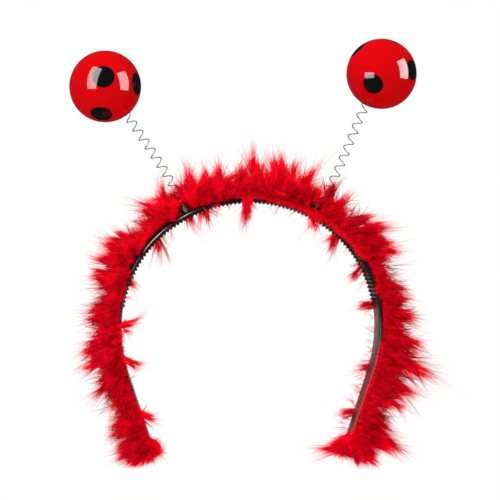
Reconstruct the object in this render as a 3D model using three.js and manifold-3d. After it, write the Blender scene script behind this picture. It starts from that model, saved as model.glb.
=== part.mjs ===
// A ladybird head bopper: a toothed plastic headband trimmed with red marabou feather,
// which carries two spotted hollow balls on wire springs.
// Units are millimetres. +Z is up, +X is to the right and the front faces -Y.
// The origin is the middle of the headband's inner face at its crown, where it sits on a head.

import * as THREE from 'three';
import { mergeVertices } from 'three/addons/utils/BufferGeometryUtils.js';
import Module from 'manifold-3d';

const wasm = await Module();
wasm.setup();

const degrees = Math.PI / 180;
const mergeDistance = 1e-4;

// Clearance between pieces that touch
const gap = 0.3;

// Headband: each half is three tangent arcs and a straight leg, measured on the inner face
const crownRadius = 74;
const crownTurn = 35 * degrees;
const shoulderRadius = 60.5;
const shoulderTurn = 55 * degrees;
const sideRadius = 74;
const sideTurn = 19.5 * degrees;
const legLength = 39.5;
const bandWidth = 10;
const tipWidth = 7.5;
const bandThickness = 2;
const edgeRound = 0.5;
const arcStep = 7 * degrees;

// Teeth: two rows of small pyramids on the inner face
const toothPitch = 2.15;
const toothHeight = 1.2;
const toothBase = 1.7;
const toothRowWidth = 2.6;
const toothRowOffset = 3.1;
const toothedLength = 94;
const toothSink = 0.3;

// Springs: close-wound at both ends, with open turns between
const wireDiameter = 0.5;
const coilDiameter = 4.6;
const openTurns = 10;
const footTurns = 4;
const neckTurns = 3;
const closePitch = 0.75;
const stepsPerTurn = 9;
const wireSides = 5;
const lineDivisions = 400;
const coilDivisions = 3000;

// Pegs that carry the springs, at an angle from the crown
const pegAngle = 26.2 * degrees;
const pegRootSink = 0.8;
const pegShoulder = 0.6;
const pegSides = 12;

// Balls: hollow, each with a hole and an inner collar for its spring
const ballDiameter = 36;
const ballWall = 1;
const ballSides = 20;
const ballOuterSteps = 10;
const ballInnerSteps = 7;

// Antennae. span is the distance from the foot of the peg to the middle of the ball, and lean
// the angle in degrees of that line from upright. The spring bows off that line, outwards if
// above 0, at a low and a high share of it, and bowLow and bowHigh are shares of the span.
// phase is the turn at which the wire starts.
const bowLowShare = 0.25;
const bowHighShare = 0.7;
const leftSpan = 76.2;
const rightSpan = 80.1;
const antennae = [
  { name: 'left', side: -1, span: leftSpan, lean: 33.5, bowLow: -0.028, bowHigh: -0.022, phase: 0.1 },
  { name: 'right', side: 1, span: rightSpan, lean: 27.6, bowLow: 0.026, bowHigh: 0, phase: 0.6 },
];

// Feather trim: a soft core that springs from the middle of the outer face and widens away
// from it, with plumes fused to it
const plumeReach = 24;
const plumeWidth = 9.5;
const plumeBelly = 0.5;
const strayBelly = 0.25;
const coreHalfWidth = 13;
const coreShare = 0.72;
const coreMiddle = 6.5;
const coreStep = 13;
const coreSides = 8;
const plumeSides = 4;
const plumeDroop = 0.1;
const plumeRootSpread = 0.4;
const strayWidthShare = 0.6;
const straySplay = 0.15;
const tipWidthShare = 1.2;
const tipRootSink = 0.3;
const channelReach = 1.5;
const channelSteps = 6;
const channelSides = 8;
const partingShare = 1 / 3;
const tipOverhang = 3.5;
const tipWrap = 6;
const wrapLength = 12;

// Tufts along the band. along is the share of half the arch, below 0 on the left.
// reach is the height above the inner face, as a share of plumeReach.
// lean is the angle in degrees from straight out, towards the tip of the band.
const tufts = [
  { along: -0.97, reach: 0.80, lean: 6 },
  { along: -0.91, reach: 0.87, lean: -5 },
  { along: -0.83, reach: 0.65, lean: 6 },
  { along: -0.76, reach: 0.80, lean: 14 },
  { along: -0.69, reach: 0.96, lean: 6 },
  { along: -0.65, reach: 0.79, lean: 4 },
  { along: -0.58, reach: 0.79, lean: 6 },
  { along: -0.53, reach: 0.63, lean: 6 },
  { along: -0.49, reach: 0.86, lean: 0 },
  { along: -0.44, reach: 0.86, lean: 5 },
  { along: -0.40, reach: 0.98, lean: 6 },
  { along: -0.36, reach: 0.78, lean: 9 },
  { along: -0.33, reach: 0.50, lean: 4 },
  { along: -0.26, reach: 0.94, lean: 24 },
  { along: -0.23, reach: 0.92, lean: -7 },
  { along: -0.17, reach: 1.07, lean: -16 },
  { along: -0.13, reach: 0.90, lean: -18 },
  { along: -0.09, reach: 0.88, lean: -18 },
  { along: -0.03, reach: 0.86, lean: -14 },
  { along: 0.03, reach: 1.14, lean: -9 },
  { along: 0.08, reach: 1.20, lean: -6 },
  { along: 0.12, reach: 1.10, lean: -4 },
  { along: 0.16, reach: 1.06, lean: 0 },
  { along: 0.24, reach: 0.98, lean: -10 },
  { along: 0.28, reach: 0.80, lean: -4 },
  { along: 0.32, reach: 0.94, lean: 18 },
  { along: 0.36, reach: 0.96, lean: 22 },
  { along: 0.40, reach: 1.00, lean: 20 },
  { along: 0.46, reach: 0.70, lean: 18 },
  { along: 0.52, reach: 0.86, lean: 18 },
  { along: 0.58, reach: 0.93, lean: 16 },
  { along: 0.64, reach: 1.06, lean: 14 },
  { along: 0.70, reach: 1.36, lean: 14 },
  { along: 0.76, reach: 1.12, lean: 13 },
  { along: 0.82, reach: 0.97, lean: 12 },
  { along: 0.88, reach: 0.86, lean: 13 },
  { along: 0.94, reach: 1.22, lean: 3 },
];

// Plumes of one tuft: fan is the angle in degrees round the band from straight out, to the
// front and back by turns from tuft to tuft, reach a share of the tuft's reach, and shift a
// share of plumeWidth along the band
const fanPlumes = [
  { fan: -60, reach: 0.92, shift: 0.20 },
  { fan: -8, reach: 1.00, shift: -0.10 },
  { fan: 44, reach: 0.96, shift: 0.25 },
];

// Plumes that stray past the band's edges into the head opening.
// edge is -1 at the front edge and 1 at the back, and the other columns are as above.
const strays = [
  { along: -0.86, edge: -1, reach: 0.34, lean: 30 },
  { along: -0.69, edge: -1, reach: 0.40, lean: 34 },
  { along: -0.63, edge: -1, reach: 0.44, lean: -24 },
  { along: -0.46, edge: 1, reach: 0.36, lean: 10 },
  { along: -0.28, edge: 1, reach: 0.62, lean: 26 },
  { along: -0.19, edge: 1, reach: 0.36, lean: -10 },
  { along: -0.12, edge: 1, reach: 0.40, lean: 12 },
  { along: -0.02, edge: -1, reach: 0.46, lean: 4 },
  { along: 0.19, edge: -1, reach: 0.34, lean: 12 },
  { along: 0.30, edge: 1, reach: 0.42, lean: 16 },
  { along: 0.42, edge: 1, reach: 0.32, lean: 24 },
  { along: 0.56, edge: 1, reach: 0.38, lean: -12 },
  { along: 0.71, edge: 1, reach: 0.34, lean: 34 },
  { along: 0.88, edge: 1, reach: 0.36, lean: 20 },
];

// Plumes round each tip of the band. turn is the angle in degrees from straight out,
// past the tip and round to the inner side.
const tipPlumes = [
  { side: -1, turn: 4, fan: -24, reach: 0.60 },
  { side: -1, turn: 50, fan: 26, reach: 0.28 },
  { side: -1, turn: 90, fan: -20, reach: 0.12 },
  { side: -1, turn: 118, fan: 18, reach: 0.28 },
  { side: 1, turn: 6, fan: 22, reach: 0.92 },
  { side: 1, turn: 42, fan: -24, reach: 0.44 },
  { side: 1, turn: 72, fan: 20, reach: 0.28 },
  { side: 1, turn: 98, fan: -22, reach: 0.26 },
  { side: 1, turn: 124, fan: 24, reach: 0.40 },
  { side: 1, turn: 160, fan: -14, reach: 0.74 },
];

// Finishes
const blackPlastic = new THREE.MeshStandardMaterial({ color: 0x0d0c0e, roughness: 0.25, metalness: 0 });
const redFeather = new THREE.MeshStandardMaterial({ color: 0xc8000f, roughness: 0.9, metalness: 0 });
const steelWire = new THREE.MeshStandardMaterial({ color: 0x8b8b8f, roughness: 0.35, metalness: 1 });
const redGloss = new THREE.MeshStandardMaterial({ color: 0xd90010, roughness: 0.1, metalness: 0 });

// Arch of the band's inner face

const archArcs = [
  { radius: crownRadius, turn: crownTurn },
  { radius: shoulderRadius, turn: shoulderTurn },
  { radius: sideRadius, turn: sideTurn },
];
const halfArch = archArcs.reduce((sum, arc) => sum + arc.radius * arc.turn, legLength);

// The frame at a distance along the inner face from the crown, below 0 on the left:
// a point of the inner face, the direction out of the head and the direction to the right
function archFrame(distance) {
  const side = distance < 0 ? -1 : 1;
  let rest = Math.abs(distance);
  let turned = 0;
  let x = 0;
  let z = 0;
  for (const { radius, turn } of archArcs) {
    const step = Math.min(rest, radius * turn) / radius;
    x += radius * (Math.sin(turned + step) - Math.sin(turned));
    z += radius * (Math.cos(turned + step) - Math.cos(turned));
    turned += step;
    rest -= radius * step;
  }
  x += rest * Math.cos(turned);
  z -= rest * Math.sin(turned);
  return {
    point: new THREE.Vector3(side * x, 0, z),
    out: new THREE.Vector3(side * Math.sin(turned), 0, Math.cos(turned)),
    right: new THREE.Vector3(Math.cos(turned), 0, -side * Math.sin(turned)),
  };
}

// Points of a frame: across is towards the back, out is away from the head
function onFrame(frame, across, out) {
  const point = frame.point.clone().addScaledVector(frame.out, out);
  point.y += across;
  return point;
}

// Distances along the arch where a swept piece has a section, with the arcs in equal steps
function archStations(end) {
  const half = [0];
  let start = 0;
  for (const { radius, turn } of archArcs) {
    const steps = Math.ceil(turn / arcStep);
    for (let i = 1; i <= steps; i += 1) {
      half.push(start + (radius * turn * i) / steps);
    }
    start += radius * turn;
  }
  half.push((start + end) / 2, end);
  const mirrored = half.slice(1).reverse().map((distance) => -distance);
  return [...mirrored, ...half];
}

// Solids from rings of points, closed at each end by a fan to a point

function loft(rings, startPoint, endPoint) {
  const count = rings[0].length;
  const points = [startPoint, endPoint, ...rings.flat()];
  const first = (ring) => 2 + ring * count;
  const index = [];
  for (let j = 0; j < count; j += 1) {
    const k = (j + 1) % count;
    for (let i = 0; i + 1 < rings.length; i += 1) {
      const a = first(i);
      const b = first(i + 1);
      index.push(a + j, a + k, b + k);
      index.push(a + j, b + k, b + j);
    }
    index.push(0, first(0) + k, first(0) + j);
    index.push(1, first(rings.length - 1) + j, first(rings.length - 1) + k);
  }
  const geometry = new THREE.BufferGeometry().setFromPoints(points);
  geometry.setIndex(index);
  return geometry;
}

function middleOf(ring) {
  const middle = new THREE.Vector3();
  ring.forEach((point) => middle.add(point));
  return middle.divideScalar(ring.length);
}

function closedLoft(rings) {
  return loft(rings, middleOf(rings[0]), middleOf(rings[rings.length - 1]));
}

// Booleans

function bareGeometry(geometry) {
  geometry.deleteAttribute('normal');
  geometry.deleteAttribute('uv');
  return mergeVertices(geometry, mergeDistance);
}

function toSolid(geometry) {
  const merged = bareGeometry(geometry);
  return new wasm.Manifold(new wasm.Mesh({
    numProp: 3,
    vertProperties: new Float32Array(merged.getAttribute('position').array),
    triVerts: new Uint32Array(merged.getIndex().array),
  }));
}

function toGeometry(solid) {
  const mesh = solid.getMesh();
  const geometry = new THREE.BufferGeometry();
  geometry.setAttribute('position', new THREE.BufferAttribute(mesh.vertProperties, 3));
  geometry.setIndex(new THREE.BufferAttribute(mesh.triVerts, 1));
  return geometry;
}

function join(geometries) {
  return geometries.map(toSolid).reduce((sum, solid) => sum.add(solid));
}

// A solid turned round an axis, from a profile of radius and height that is closed on the axis
function turnedSolid(profile, sides, axis) {
  const geometry = bareGeometry(new THREE.LatheGeometry(profile, sides));
  const upright = new THREE.Vector3(0, 1, 0);
  return geometry.applyQuaternion(new THREE.Quaternion().setFromUnitVectors(upright, axis));
}

// Headband

function widthAt(distance) {
  const straight = halfArch - legLength;
  const share = Math.max(0, (Math.abs(distance) - straight) / legLength);
  return THREE.MathUtils.lerp(bandWidth, tipWidth, Math.min(1, share));
}

// The band's outline at one place, grown by a margin on every side, counterclockwise
function bandSection(distance, margin, round) {
  const frame = archFrame(distance);
  const half = widthAt(distance) / 2 + margin;
  const low = -margin;
  const high = bandThickness + margin;
  const corners = [
    [half, low + round], [half, high - round], [half - round, high], [round - half, high],
    [-half, high - round], [-half, low + round], [round - half, low], [half - round, low],
  ];
  return corners.map(([across, out]) => onFrame(frame, across, out));
}

function bandSweep(margin, round) {
  const stations = archStations(halfArch + margin);
  return closedLoft(stations.map((distance) => bandSection(distance, margin, round)));
}

function tooth(distance, rowSide) {
  const frame = archFrame(distance);
  const base = [[1, 1], [1, -1], [-1, -1], [-1, 1]].map(([along, across]) => {
    const point = onFrame(frame, rowSide * toothRowOffset + (across * toothRowWidth) / 2, toothSink);
    return point.addScaledVector(frame.right, (along * toothBase) / 2);
  });
  const tip = onFrame(frame, rowSide * toothRowOffset, -toothHeight);
  return loft([base], middleOf(base), tip);
}

function teeth() {
  const perHalf = Math.floor(toothedLength / toothPitch);
  const all = [];
  for (let i = -perHalf; i <= perHalf; i += 1) {
    all.push(tooth(i * toothPitch, -1), tooth(i * toothPitch, 1));
  }
  return all;
}

// Pegs, a little longer than the close-wound turns that sit on them

const coilRadius = (coilDiameter - wireDiameter) / 2;
const pegRadius = coilDiameter / 2 - wireDiameter - gap;
const footHeight = footTurns * closePitch;
const pegHeight = footHeight + wireDiameter + gap;
const pegDistance = crownRadius * pegAngle;

function pegFrame(side) {
  const frame = archFrame(side * pegDistance);
  return { ...frame, foot: onFrame(frame, 0, bandThickness) };
}

function peg(side) {
  const profile = [
    new THREE.Vector2(0, -pegRootSink),
    new THREE.Vector2(pegRadius, -pegRootSink),
    new THREE.Vector2(pegRadius, pegHeight - pegShoulder),
    new THREE.Vector2(pegRadius - pegShoulder, pegHeight),
    new THREE.Vector2(0, pegHeight),
  ];
  const frame = pegFrame(side);
  const geometry = turnedSolid(profile, pegSides, frame.out);
  return geometry.translate(frame.foot.x, frame.foot.y, frame.foot.z);
}

const headbandSolid = join([bandSweep(0, edgeRound), peg(-1), peg(1), ...teeth()]);

// Springs

const ballRadius = ballDiameter / 2;
const holeRadius = coilDiameter / 2 + gap;
const neckHeight = neckTurns * closePitch;

// Middle line of a spring: straight on its peg, bowed between, and straight into its ball
function springLine({ side, span, lean, bowLow, bowHigh }) {
  const frame = pegFrame(side);
  const angle = lean * degrees;
  const chord = new THREE.Vector3(side * Math.sin(angle), 0, Math.cos(angle)).multiplyScalar(span);
  const sideways = new THREE.Vector3(side * chord.z, 0, -side * chord.x);
  const centre = frame.foot.clone().add(chord);
  const low = frame.foot.clone().addScaledVector(chord, bowLowShare).addScaledVector(sideways, bowLow);
  const high = frame.foot.clone().addScaledVector(chord, bowHighShare).addScaledVector(sideways, bowHigh);
  const inward = centre.clone().sub(high).normalize();
  const out = (height) => frame.foot.clone().addScaledVector(frame.out, height);
  const neck = centre.clone().addScaledVector(inward, -ballRadius);
  const seat = gap + wireDiameter / 2;
  return {
    centre,
    inward,
    curve: new THREE.CatmullRomCurve3([
      out(seat),
      out(seat + footHeight),
      out(pegHeight + wireDiameter),
      low,
      high,
      neck,
      neck.clone().addScaledVector(inward, neckHeight + wireDiameter),
    ]),
  };
}

class CoilCurve extends THREE.Curve {
  constructor(line, phase) {
    super();
    this.line = line;
    this.line.arcLengthDivisions = lineDivisions;
    this.length = this.line.getLength();
    this.phase = phase;
    this.arcLengthDivisions = coilDivisions;
  }

  // Turns made at a distance along the middle line
  turnsAt(distance) {
    const open = this.length - footHeight - neckHeight;
    const foot = Math.min(distance, footHeight) / closePitch;
    const middle = THREE.MathUtils.clamp((distance - footHeight) / open, 0, 1) * openTurns;
    const neck = Math.max(0, distance - footHeight - open) / closePitch;
    return foot + middle + neck;
  }

  getPoint(t, target = new THREE.Vector3()) {
    const angle = 2 * Math.PI * (this.turnsAt(t * this.length) + this.phase);
    const tangent = this.line.getTangentAt(t);
    const sideways = new THREE.Vector3(tangent.z, 0, -tangent.x);
    this.line.getPointAt(t, target);
    target.addScaledVector(sideways, coilRadius * Math.cos(angle));
    target.y += coilRadius * Math.sin(angle);
    return target;
  }
}

function circleShape(radius, sides) {
  const corners = [];
  for (let i = 0; i < sides; i += 1) {
    const angle = (2 * Math.PI * i) / sides;
    corners.push(new THREE.Vector2(radius * Math.cos(angle), radius * Math.sin(angle)));
  }
  return new THREE.Shape(corners);
}

function coil(line, phase) {
  const turns = footTurns + openTurns + neckTurns;
  return bareGeometry(new THREE.ExtrudeGeometry(circleShape(wireDiameter / 2, wireSides), {
    extrudePath: new CoilCurve(line, phase),
    steps: turns * stepsPerTurn,
  }));
}

// Ball: a turned shell with a hole and a collar inside it for the spring

// Points of a half circle from the top of the ball down to a hole of the given radius
function ballArc(radius, hole, steps) {
  const end = Math.PI - Math.asin(hole / radius);
  const points = [];
  for (let i = 0; i <= steps; i += 1) {
    const angle = (end * i) / steps;
    points.push(new THREE.Vector2(radius * Math.sin(angle), radius * Math.cos(angle)));
  }
  return points;
}

function ball(inward) {
  const collarRadius = holeRadius + ballWall;
  const collarTop = neckHeight + wireDiameter + gap - ballRadius;
  const profile = [
    ...ballArc(ballRadius - ballWall, collarRadius, ballInnerSteps),
    new THREE.Vector2(collarRadius, collarTop),
    new THREE.Vector2(holeRadius, collarTop),
    ...ballArc(ballRadius, holeRadius, ballOuterSteps).reverse(),
  ];
  return turnedSolid(profile, ballSides, inward);
}

// Feather trim

// Height of the trim above the inner face at a distance along the arch
function reachAt(distance) {
  const along = distance / halfArch;
  const next = tufts.findIndex((tuft) => tuft.along > along);
  if (next === 0) {
    return tufts[0].reach * plumeReach;
  }
  if (next < 0) {
    return tufts[tufts.length - 1].reach * plumeReach;
  }
  const before = tufts[next - 1];
  const after = tufts[next];
  const share = (along - before.along) / (after.along - before.along);
  return THREE.MathUtils.lerp(before.reach, after.reach, share) * plumeReach;
}

// How far the trim has closed round the band at a distance along the arch, from 0 to 1
function wrapAt(distance) {
  return THREE.MathUtils.smoothstep(Math.abs(distance), halfArch - wrapLength, halfArch);
}

function coreSection(distance) {
  const frame = archFrame(distance);
  const wrap = wrapAt(distance);
  const high = reachAt(distance) * coreShare;
  const low = THREE.MathUtils.lerp(bandThickness, -tipWrap, wrap);
  const middle = THREE.MathUtils.lerp(coreMiddle, bandThickness / 2, wrap);
  const ring = [];
  for (let i = 0; i < coreSides; i += 1) {
    const angle = (2 * Math.PI * i) / coreSides;
    const height = Math.sin(angle) > 0 ? high - middle : middle - low;
    ring.push(onFrame(frame, coreHalfWidth * Math.cos(angle), middle + height * Math.sin(angle)));
  }
  return ring;
}

function core() {
  const end = halfArch + tipOverhang;
  const steps = Math.round(end / coreStep);
  const rings = [];
  for (let i = -steps; i <= steps; i += 1) {
    rings.push(coreSection((end * i) / steps));
  }
  return closedLoft(rings);
}

// A plume: a bent spindle from a root to a tip that droops, widest at the share belly
function plume(root, direction, length, width, belly) {
  const across = new THREE.Vector3(0, 1, 0).cross(direction).normalize();
  const other = direction.clone().cross(across);
  const droop = new THREE.Vector3(0, 0, -plumeDroop * length);
  const centre = root.clone().addScaledVector(direction, belly * length);
  centre.addScaledVector(droop, belly * belly);
  const ring = [];
  for (let i = 0; i < plumeSides; i += 1) {
    const angle = (2 * Math.PI * i) / plumeSides;
    const point = centre.clone().addScaledVector(across, (Math.cos(angle) * width) / 2);
    ring.push(point.addScaledVector(other, (Math.sin(angle) * width) / 2));
  }
  const tip = root.clone().addScaledVector(direction, length).add(droop);
  return loft([ring], root, tip);
}

// The direction at an angle from straight out, towards the band's tip, fanned across the band
function plumeDirection(frame, side, lean, fan) {
  const flat = frame.out.clone().multiplyScalar(Math.cos(lean));
  flat.addScaledVector(frame.right, side * Math.sin(lean));
  const direction = flat.multiplyScalar(Math.cos(fan));
  direction.y += Math.sin(fan);
  return direction.normalize();
}

// Plumes part round a spring, so that none is cut by it
function partedDistance(distance) {
  const side = distance < 0 ? -1 : 1;
  const room = holeRadius + plumeWidth * partingShare;
  const offset = Math.abs(distance) - pegDistance;
  if (Math.abs(offset) >= room) {
    return distance;
  }
  return side * (pegDistance + (offset < 0 ? -room : room));
}

function tuftPlumes() {
  const all = [];
  tufts.forEach((tuft, i) => {
    for (const { fan, reach, shift } of fanPlumes) {
      const fanned = fan * (i % 2 ? -degrees : degrees);
      const distance = partedDistance(tuft.along * halfArch + shift * plumeWidth);
      const frame = archFrame(distance);
      const side = distance < 0 ? -1 : 1;
      const root = onFrame(frame, plumeRootSpread * coreHalfWidth * Math.sin(fanned), coreMiddle);
      const direction = plumeDirection(frame, side, tuft.lean * degrees, fanned);
      const length = (tuft.reach * plumeReach * reach - coreMiddle) / Math.cos(tuft.lean * degrees);
      all.push(plume(root, direction, length, plumeWidth, plumeBelly));
    }
  });
  return all;
}

function strayPlumes() {
  return strays.map(({ along, edge, reach, lean }) => {
    const distance = along * halfArch;
    const frame = archFrame(distance);
    const side = distance < 0 ? -1 : 1;
    const width = plumeWidth * strayWidthShare;
    const root = onFrame(frame, edge * (bandWidth + gap + width) / 2, coreMiddle);
    const direction = frame.out.clone().multiplyScalar(-Math.cos(lean * degrees));
    direction.addScaledVector(frame.right, side * Math.sin(lean * degrees));
    direction.y += edge * straySplay;
    return plume(root, direction.normalize(), reach * plumeReach + coreMiddle, width, strayBelly);
  });
}

function tipTuftPlumes() {
  return tipPlumes.map(({ side, turn, fan, reach }) => {
    const frame = archFrame(side * halfArch);
    const spread = plumeRootSpread * coreHalfWidth * Math.sin(fan * degrees);
    const direction = plumeDirection(frame, side, turn * degrees, fan * degrees);
    const sink = tipRootSink * plumeWidth;
    const root = onFrame(frame, spread, bandThickness / 2).addScaledVector(direction, -sink);
    return plume(root, direction, reach * plumeReach + sink, plumeWidth * tipWidthShare, plumeBelly);
  });
}

// Channel that the trim leaves for a spring, as wide as the hole in its ball
function springChannel(line) {
  const radius = holeRadius / Math.cos(Math.PI / channelSides);
  const rings = [];
  for (let i = 0; i <= channelSteps; i += 1) {
    const share = (channelReach * plumeReach * i) / channelSteps / line.getLength();
    const centre = line.getPointAt(share);
    const tangent = line.getTangentAt(share);
    if (i === 0) {
      centre.addScaledVector(tangent, -bandThickness);
    }
    const sideways = new THREE.Vector3(tangent.z, 0, -tangent.x);
    const ring = [];
    for (let j = 0; j < channelSides; j += 1) {
      const angle = (2 * Math.PI * j) / channelSides;
      const point = centre.clone().addScaledVector(sideways, radius * Math.cos(angle));
      point.y += radius * Math.sin(angle);
      ring.push(point);
    }
    rings.push(ring);
  }
  return closedLoft(rings);
}

const springLines = antennae.map(springLine);
const clearances = join([bandSweep(gap, gap / 2), ...springLines.map(({ curve }) => springChannel(curve))]);
const trimSolid = join([core(), ...tuftPlumes(), ...strayPlumes(), ...tipTuftPlumes()]).subtract(clearances);

// Assembly

function piece(name, geometry, material) {
  const mesh = new THREE.Mesh(geometry, material);
  mesh.name = name;
  return mesh;
}

const bopper = new THREE.Group();
bopper.add(piece('headband', toGeometry(headbandSolid), blackPlastic));
bopper.add(piece('feather_trim', toGeometry(trimSolid), redFeather));
antennae.forEach(({ name, phase }, i) => {
  const { centre, inward, curve } = springLines[i];
  bopper.add(piece(`${name}_spring`, coil(curve, phase), steelWire.clone()));
  const ballMesh = piece(`${name}_ball`, ball(inward), redGloss.clone());
  ballMesh.position.copy(centre);
  bopper.add(ballMesh);
});

export default bopper;
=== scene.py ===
# %% [markdown]
# # A ladybird head bopper
# A head bopper is a headband for fancy dress. This one has a black toothed plastic band, a red
# marabou feather trim, and two glossy spotted balls that wobble on wire springs. The packed
# model gives the real sizes, and this lesson dresses it with smooth shapes and real finishes.

import math

import bpy
import numpy as np
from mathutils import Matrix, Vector
from mathutils.bvhtree import BVHTree


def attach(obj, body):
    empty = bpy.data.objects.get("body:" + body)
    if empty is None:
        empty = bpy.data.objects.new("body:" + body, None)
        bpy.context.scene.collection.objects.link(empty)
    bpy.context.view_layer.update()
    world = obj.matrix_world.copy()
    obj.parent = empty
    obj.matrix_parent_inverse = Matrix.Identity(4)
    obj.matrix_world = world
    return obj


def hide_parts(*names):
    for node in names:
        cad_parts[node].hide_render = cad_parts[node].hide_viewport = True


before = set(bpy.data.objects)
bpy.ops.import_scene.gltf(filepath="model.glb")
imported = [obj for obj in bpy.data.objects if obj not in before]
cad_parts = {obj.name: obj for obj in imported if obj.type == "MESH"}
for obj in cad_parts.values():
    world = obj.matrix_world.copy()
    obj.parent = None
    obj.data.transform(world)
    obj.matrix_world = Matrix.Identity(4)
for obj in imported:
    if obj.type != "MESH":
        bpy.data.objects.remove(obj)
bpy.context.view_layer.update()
MM = 0.001
print("CAD nodes:", sorted(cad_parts))

# %% [markdown]
# ## The view
# The photograph is taken from a little to the left of the front, from far away with a long lens,
# so the bopper shows almost no perspective. A camera is easiest to place by the angle round the
# object, the height above the horizon and the distance from a point that it looks at.

# %% Camera
VIEW_TURN = math.radians(-17)
VIEW_TILT = math.radians(1)
VIEW_DISTANCE = 2.05
VIEW_TARGET = Vector((0.27, 0, -24.64)) * MM
LENS_MM = 291.1


def direction(turn, tilt):
    """A unit vector at an angle round the object from the front and an angle above the horizon."""
    return Vector((math.sin(turn) * math.cos(tilt), -math.cos(turn) * math.cos(tilt), math.sin(tilt)))


to_camera = direction(VIEW_TURN, VIEW_TILT)
camera = bpy.data.objects.new("camera", bpy.data.cameras.new("camera"))
camera.data.lens = LENS_MM
camera.location = VIEW_TARGET + to_camera * VIEW_DISTANCE
camera.rotation_euler = to_camera.to_track_quat("Z", "Y").to_euler()
bpy.context.scene.collection.objects.link(camera)
bpy.context.scene.camera = camera
print("camera at", [round(value, 3) for value in camera.location])

# %% [markdown]
# ## Colours and nodes
# Paint and plastic are easiest to name by the hex values that a picture shows. Those are sRGB
# values, and the shader wants linear light, so one function turns one into the other. A second
# small function adds a shader node with its settings and its links in one call.

# %% Helpers for colours and nodes


def colour(hex_value):
    """Linear red, green, blue and alpha of an sRGB hex colour such as 'd90010'."""
    parts = [int(hex_value[i:i + 2], 16) / 255 for i in (0, 2, 4)]
    linear = [c / 12.92 if c <= 0.04045 else ((c + 0.055) / 1.055) ** 2.4 for c in parts]
    return (*linear, 1.0)


def add_node(tree, kind, links=None, values=None, **settings):
    """Adds a node. values sets its inputs, and links gives the sockets that feed them."""
    node = tree.nodes.new(kind)
    for name, value in settings.items():
        setattr(node, name, value)
    for name, value in (values or {}).items():
        node.inputs[name].default_value = value
    for name, socket in (links or {}).items():
        tree.links.new(socket, node.inputs[name])
    return node


def new_material(name):
    """An empty material with its output node, ready for a shader."""
    material = bpy.data.materials.new(name)
    material.use_nodes = True
    tree = material.node_tree
    tree.nodes.clear()
    output = add_node(tree, "ShaderNodeOutputMaterial")
    return material, tree, output


print("sRGB d90010 is linear", [round(value, 3) for value in colour("d90010")])

# %% [markdown]
# ## Light and floor
# A picture like this is shot on a white sweep with two tall softboxes, which show as bright
# upright panes in the glossy balls. The white all round lights the feathers evenly. The balls
# keep dark rims, as what lies beside the camera is dark, so glossy rays see a dark room. The
# boxes stand close, so each ball shows its own panes. Small cards put a pale and a red sheen on
# the band's inner face, and high lamps put glints on its edge and on the wires. Light linking
# keeps each of these to its own pieces.

# %% World, softboxes and floor
ROOM_DIFFUSE = 1.72
ROOM_GLOSS = 0.03


def build_world():
    world = bpy.data.worlds.new("white_sweep")
    world.use_nodes = True
    tree = world.node_tree
    tree.nodes.clear()
    path = add_node(tree, "ShaderNodeLightPath")
    seen = add_node(tree, "ShaderNodeBackground", values={"Color": (1, 1, 1, 1), "Strength": 1.0})
    soft = add_node(tree, "ShaderNodeBackground", values={"Color": (1, 1, 1, 1), "Strength": ROOM_DIFFUSE})
    dark = add_node(tree, "ShaderNodeBackground", values={"Color": (1, 1, 1, 1), "Strength": ROOM_GLOSS})
    glossy = add_node(tree, "ShaderNodeMixShader")
    tree.links.new(path.outputs["Is Glossy Ray"], glossy.inputs[0])
    tree.links.new(soft.outputs[0], glossy.inputs[1])
    tree.links.new(dark.outputs[0], glossy.inputs[2])
    final = add_node(tree, "ShaderNodeMixShader")
    tree.links.new(path.outputs["Is Camera Ray"], final.inputs[0])
    tree.links.new(glossy.outputs[0], final.inputs[1])
    tree.links.new(seen.outputs[0], final.inputs[2])
    output = add_node(tree, "ShaderNodeOutputWorld")
    tree.links.new(final.outputs[0], output.inputs["Surface"])
    bpy.context.scene.world = world


def softbox(name, turn, tilt, distance, size, power, diffuse, glossy):
    """A rectangular lamp at an angle from the camera's side of the object."""
    lamp = bpy.data.lights.new(name, "AREA")
    lamp.shape = "RECTANGLE"
    lamp.size, lamp.size_y = size
    lamp.energy = power
    place = bpy.data.objects.new(name, lamp)
    towards = direction(VIEW_TURN + math.radians(turn), math.radians(tilt))
    place.location = VIEW_TARGET + towards * distance
    place.rotation_euler = towards.to_track_quat("Z", "Y").to_euler()
    place.visible_diffuse = diffuse
    place.visible_glossy = glossy
    bpy.context.scene.collection.objects.link(place)
    return place


build_world()
# name, angle round from the camera, angle up, distance in m, width and height in m, watts, and
# whether matt and glossy surfaces see it
SOFTBOXES = (
    ("left_pane", -43, 27, 1.3, (0.74, 1.60), 24, False, True),
    ("right_pane", 65, 18, 1.3, (0.80, 1.25), 20, False, True),
    ("far_pane", 80, 15, 1.3, (0.78, 1.08), 23, False, True),
    ("small_pane", -41, -2, 1.3, (0.78, 0.41), 6.5, False, True),
    ("back_card", 213, -9, 1.3, (0.60, 0.60), 0.95, False, True),
    ("red_card", 213, 17, 1.3, (0.60, 0.50), 1.7, False, True),
    ("wire_glint", -8, 34, 1.2, (1.20, 1.20), 24, False, True),
    ("band_glint", -48, 60, 1.2, (1.40, 1.40), 110, False, True),
    ("key", -35, 38, 1.5, (0.80, 0.80), 20, True, False),
    ("top", 20, 80, 1.2, (1.00, 1.00), 11, True, False),
)
lamps = {lamp[0]: softbox(*lamp) for lamp in SOFTBOXES}

# which lamps are seen by which pieces alone
SHOWN_BY = {
    "band_only": ("back_card", "red_card", "band_glint"), "wires_only": ("wire_glint",),
    "all_but_right_ball": ("left_pane", "right_pane"), "right_ball_only": ("far_pane", "small_pane"),
}
receivers = {name: bpy.data.collections.new(name) for name in SHOWN_BY}
for name, names in SHOWN_BY.items():
    for lamp in names:
        lamps[lamp].light_linking.receiver_collection = receivers[name]
lamps["back_card"].data.color = colour("ffe4d8")[:3]
lamps["red_card"].data.color = colour("ff706c")[:3]

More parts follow.
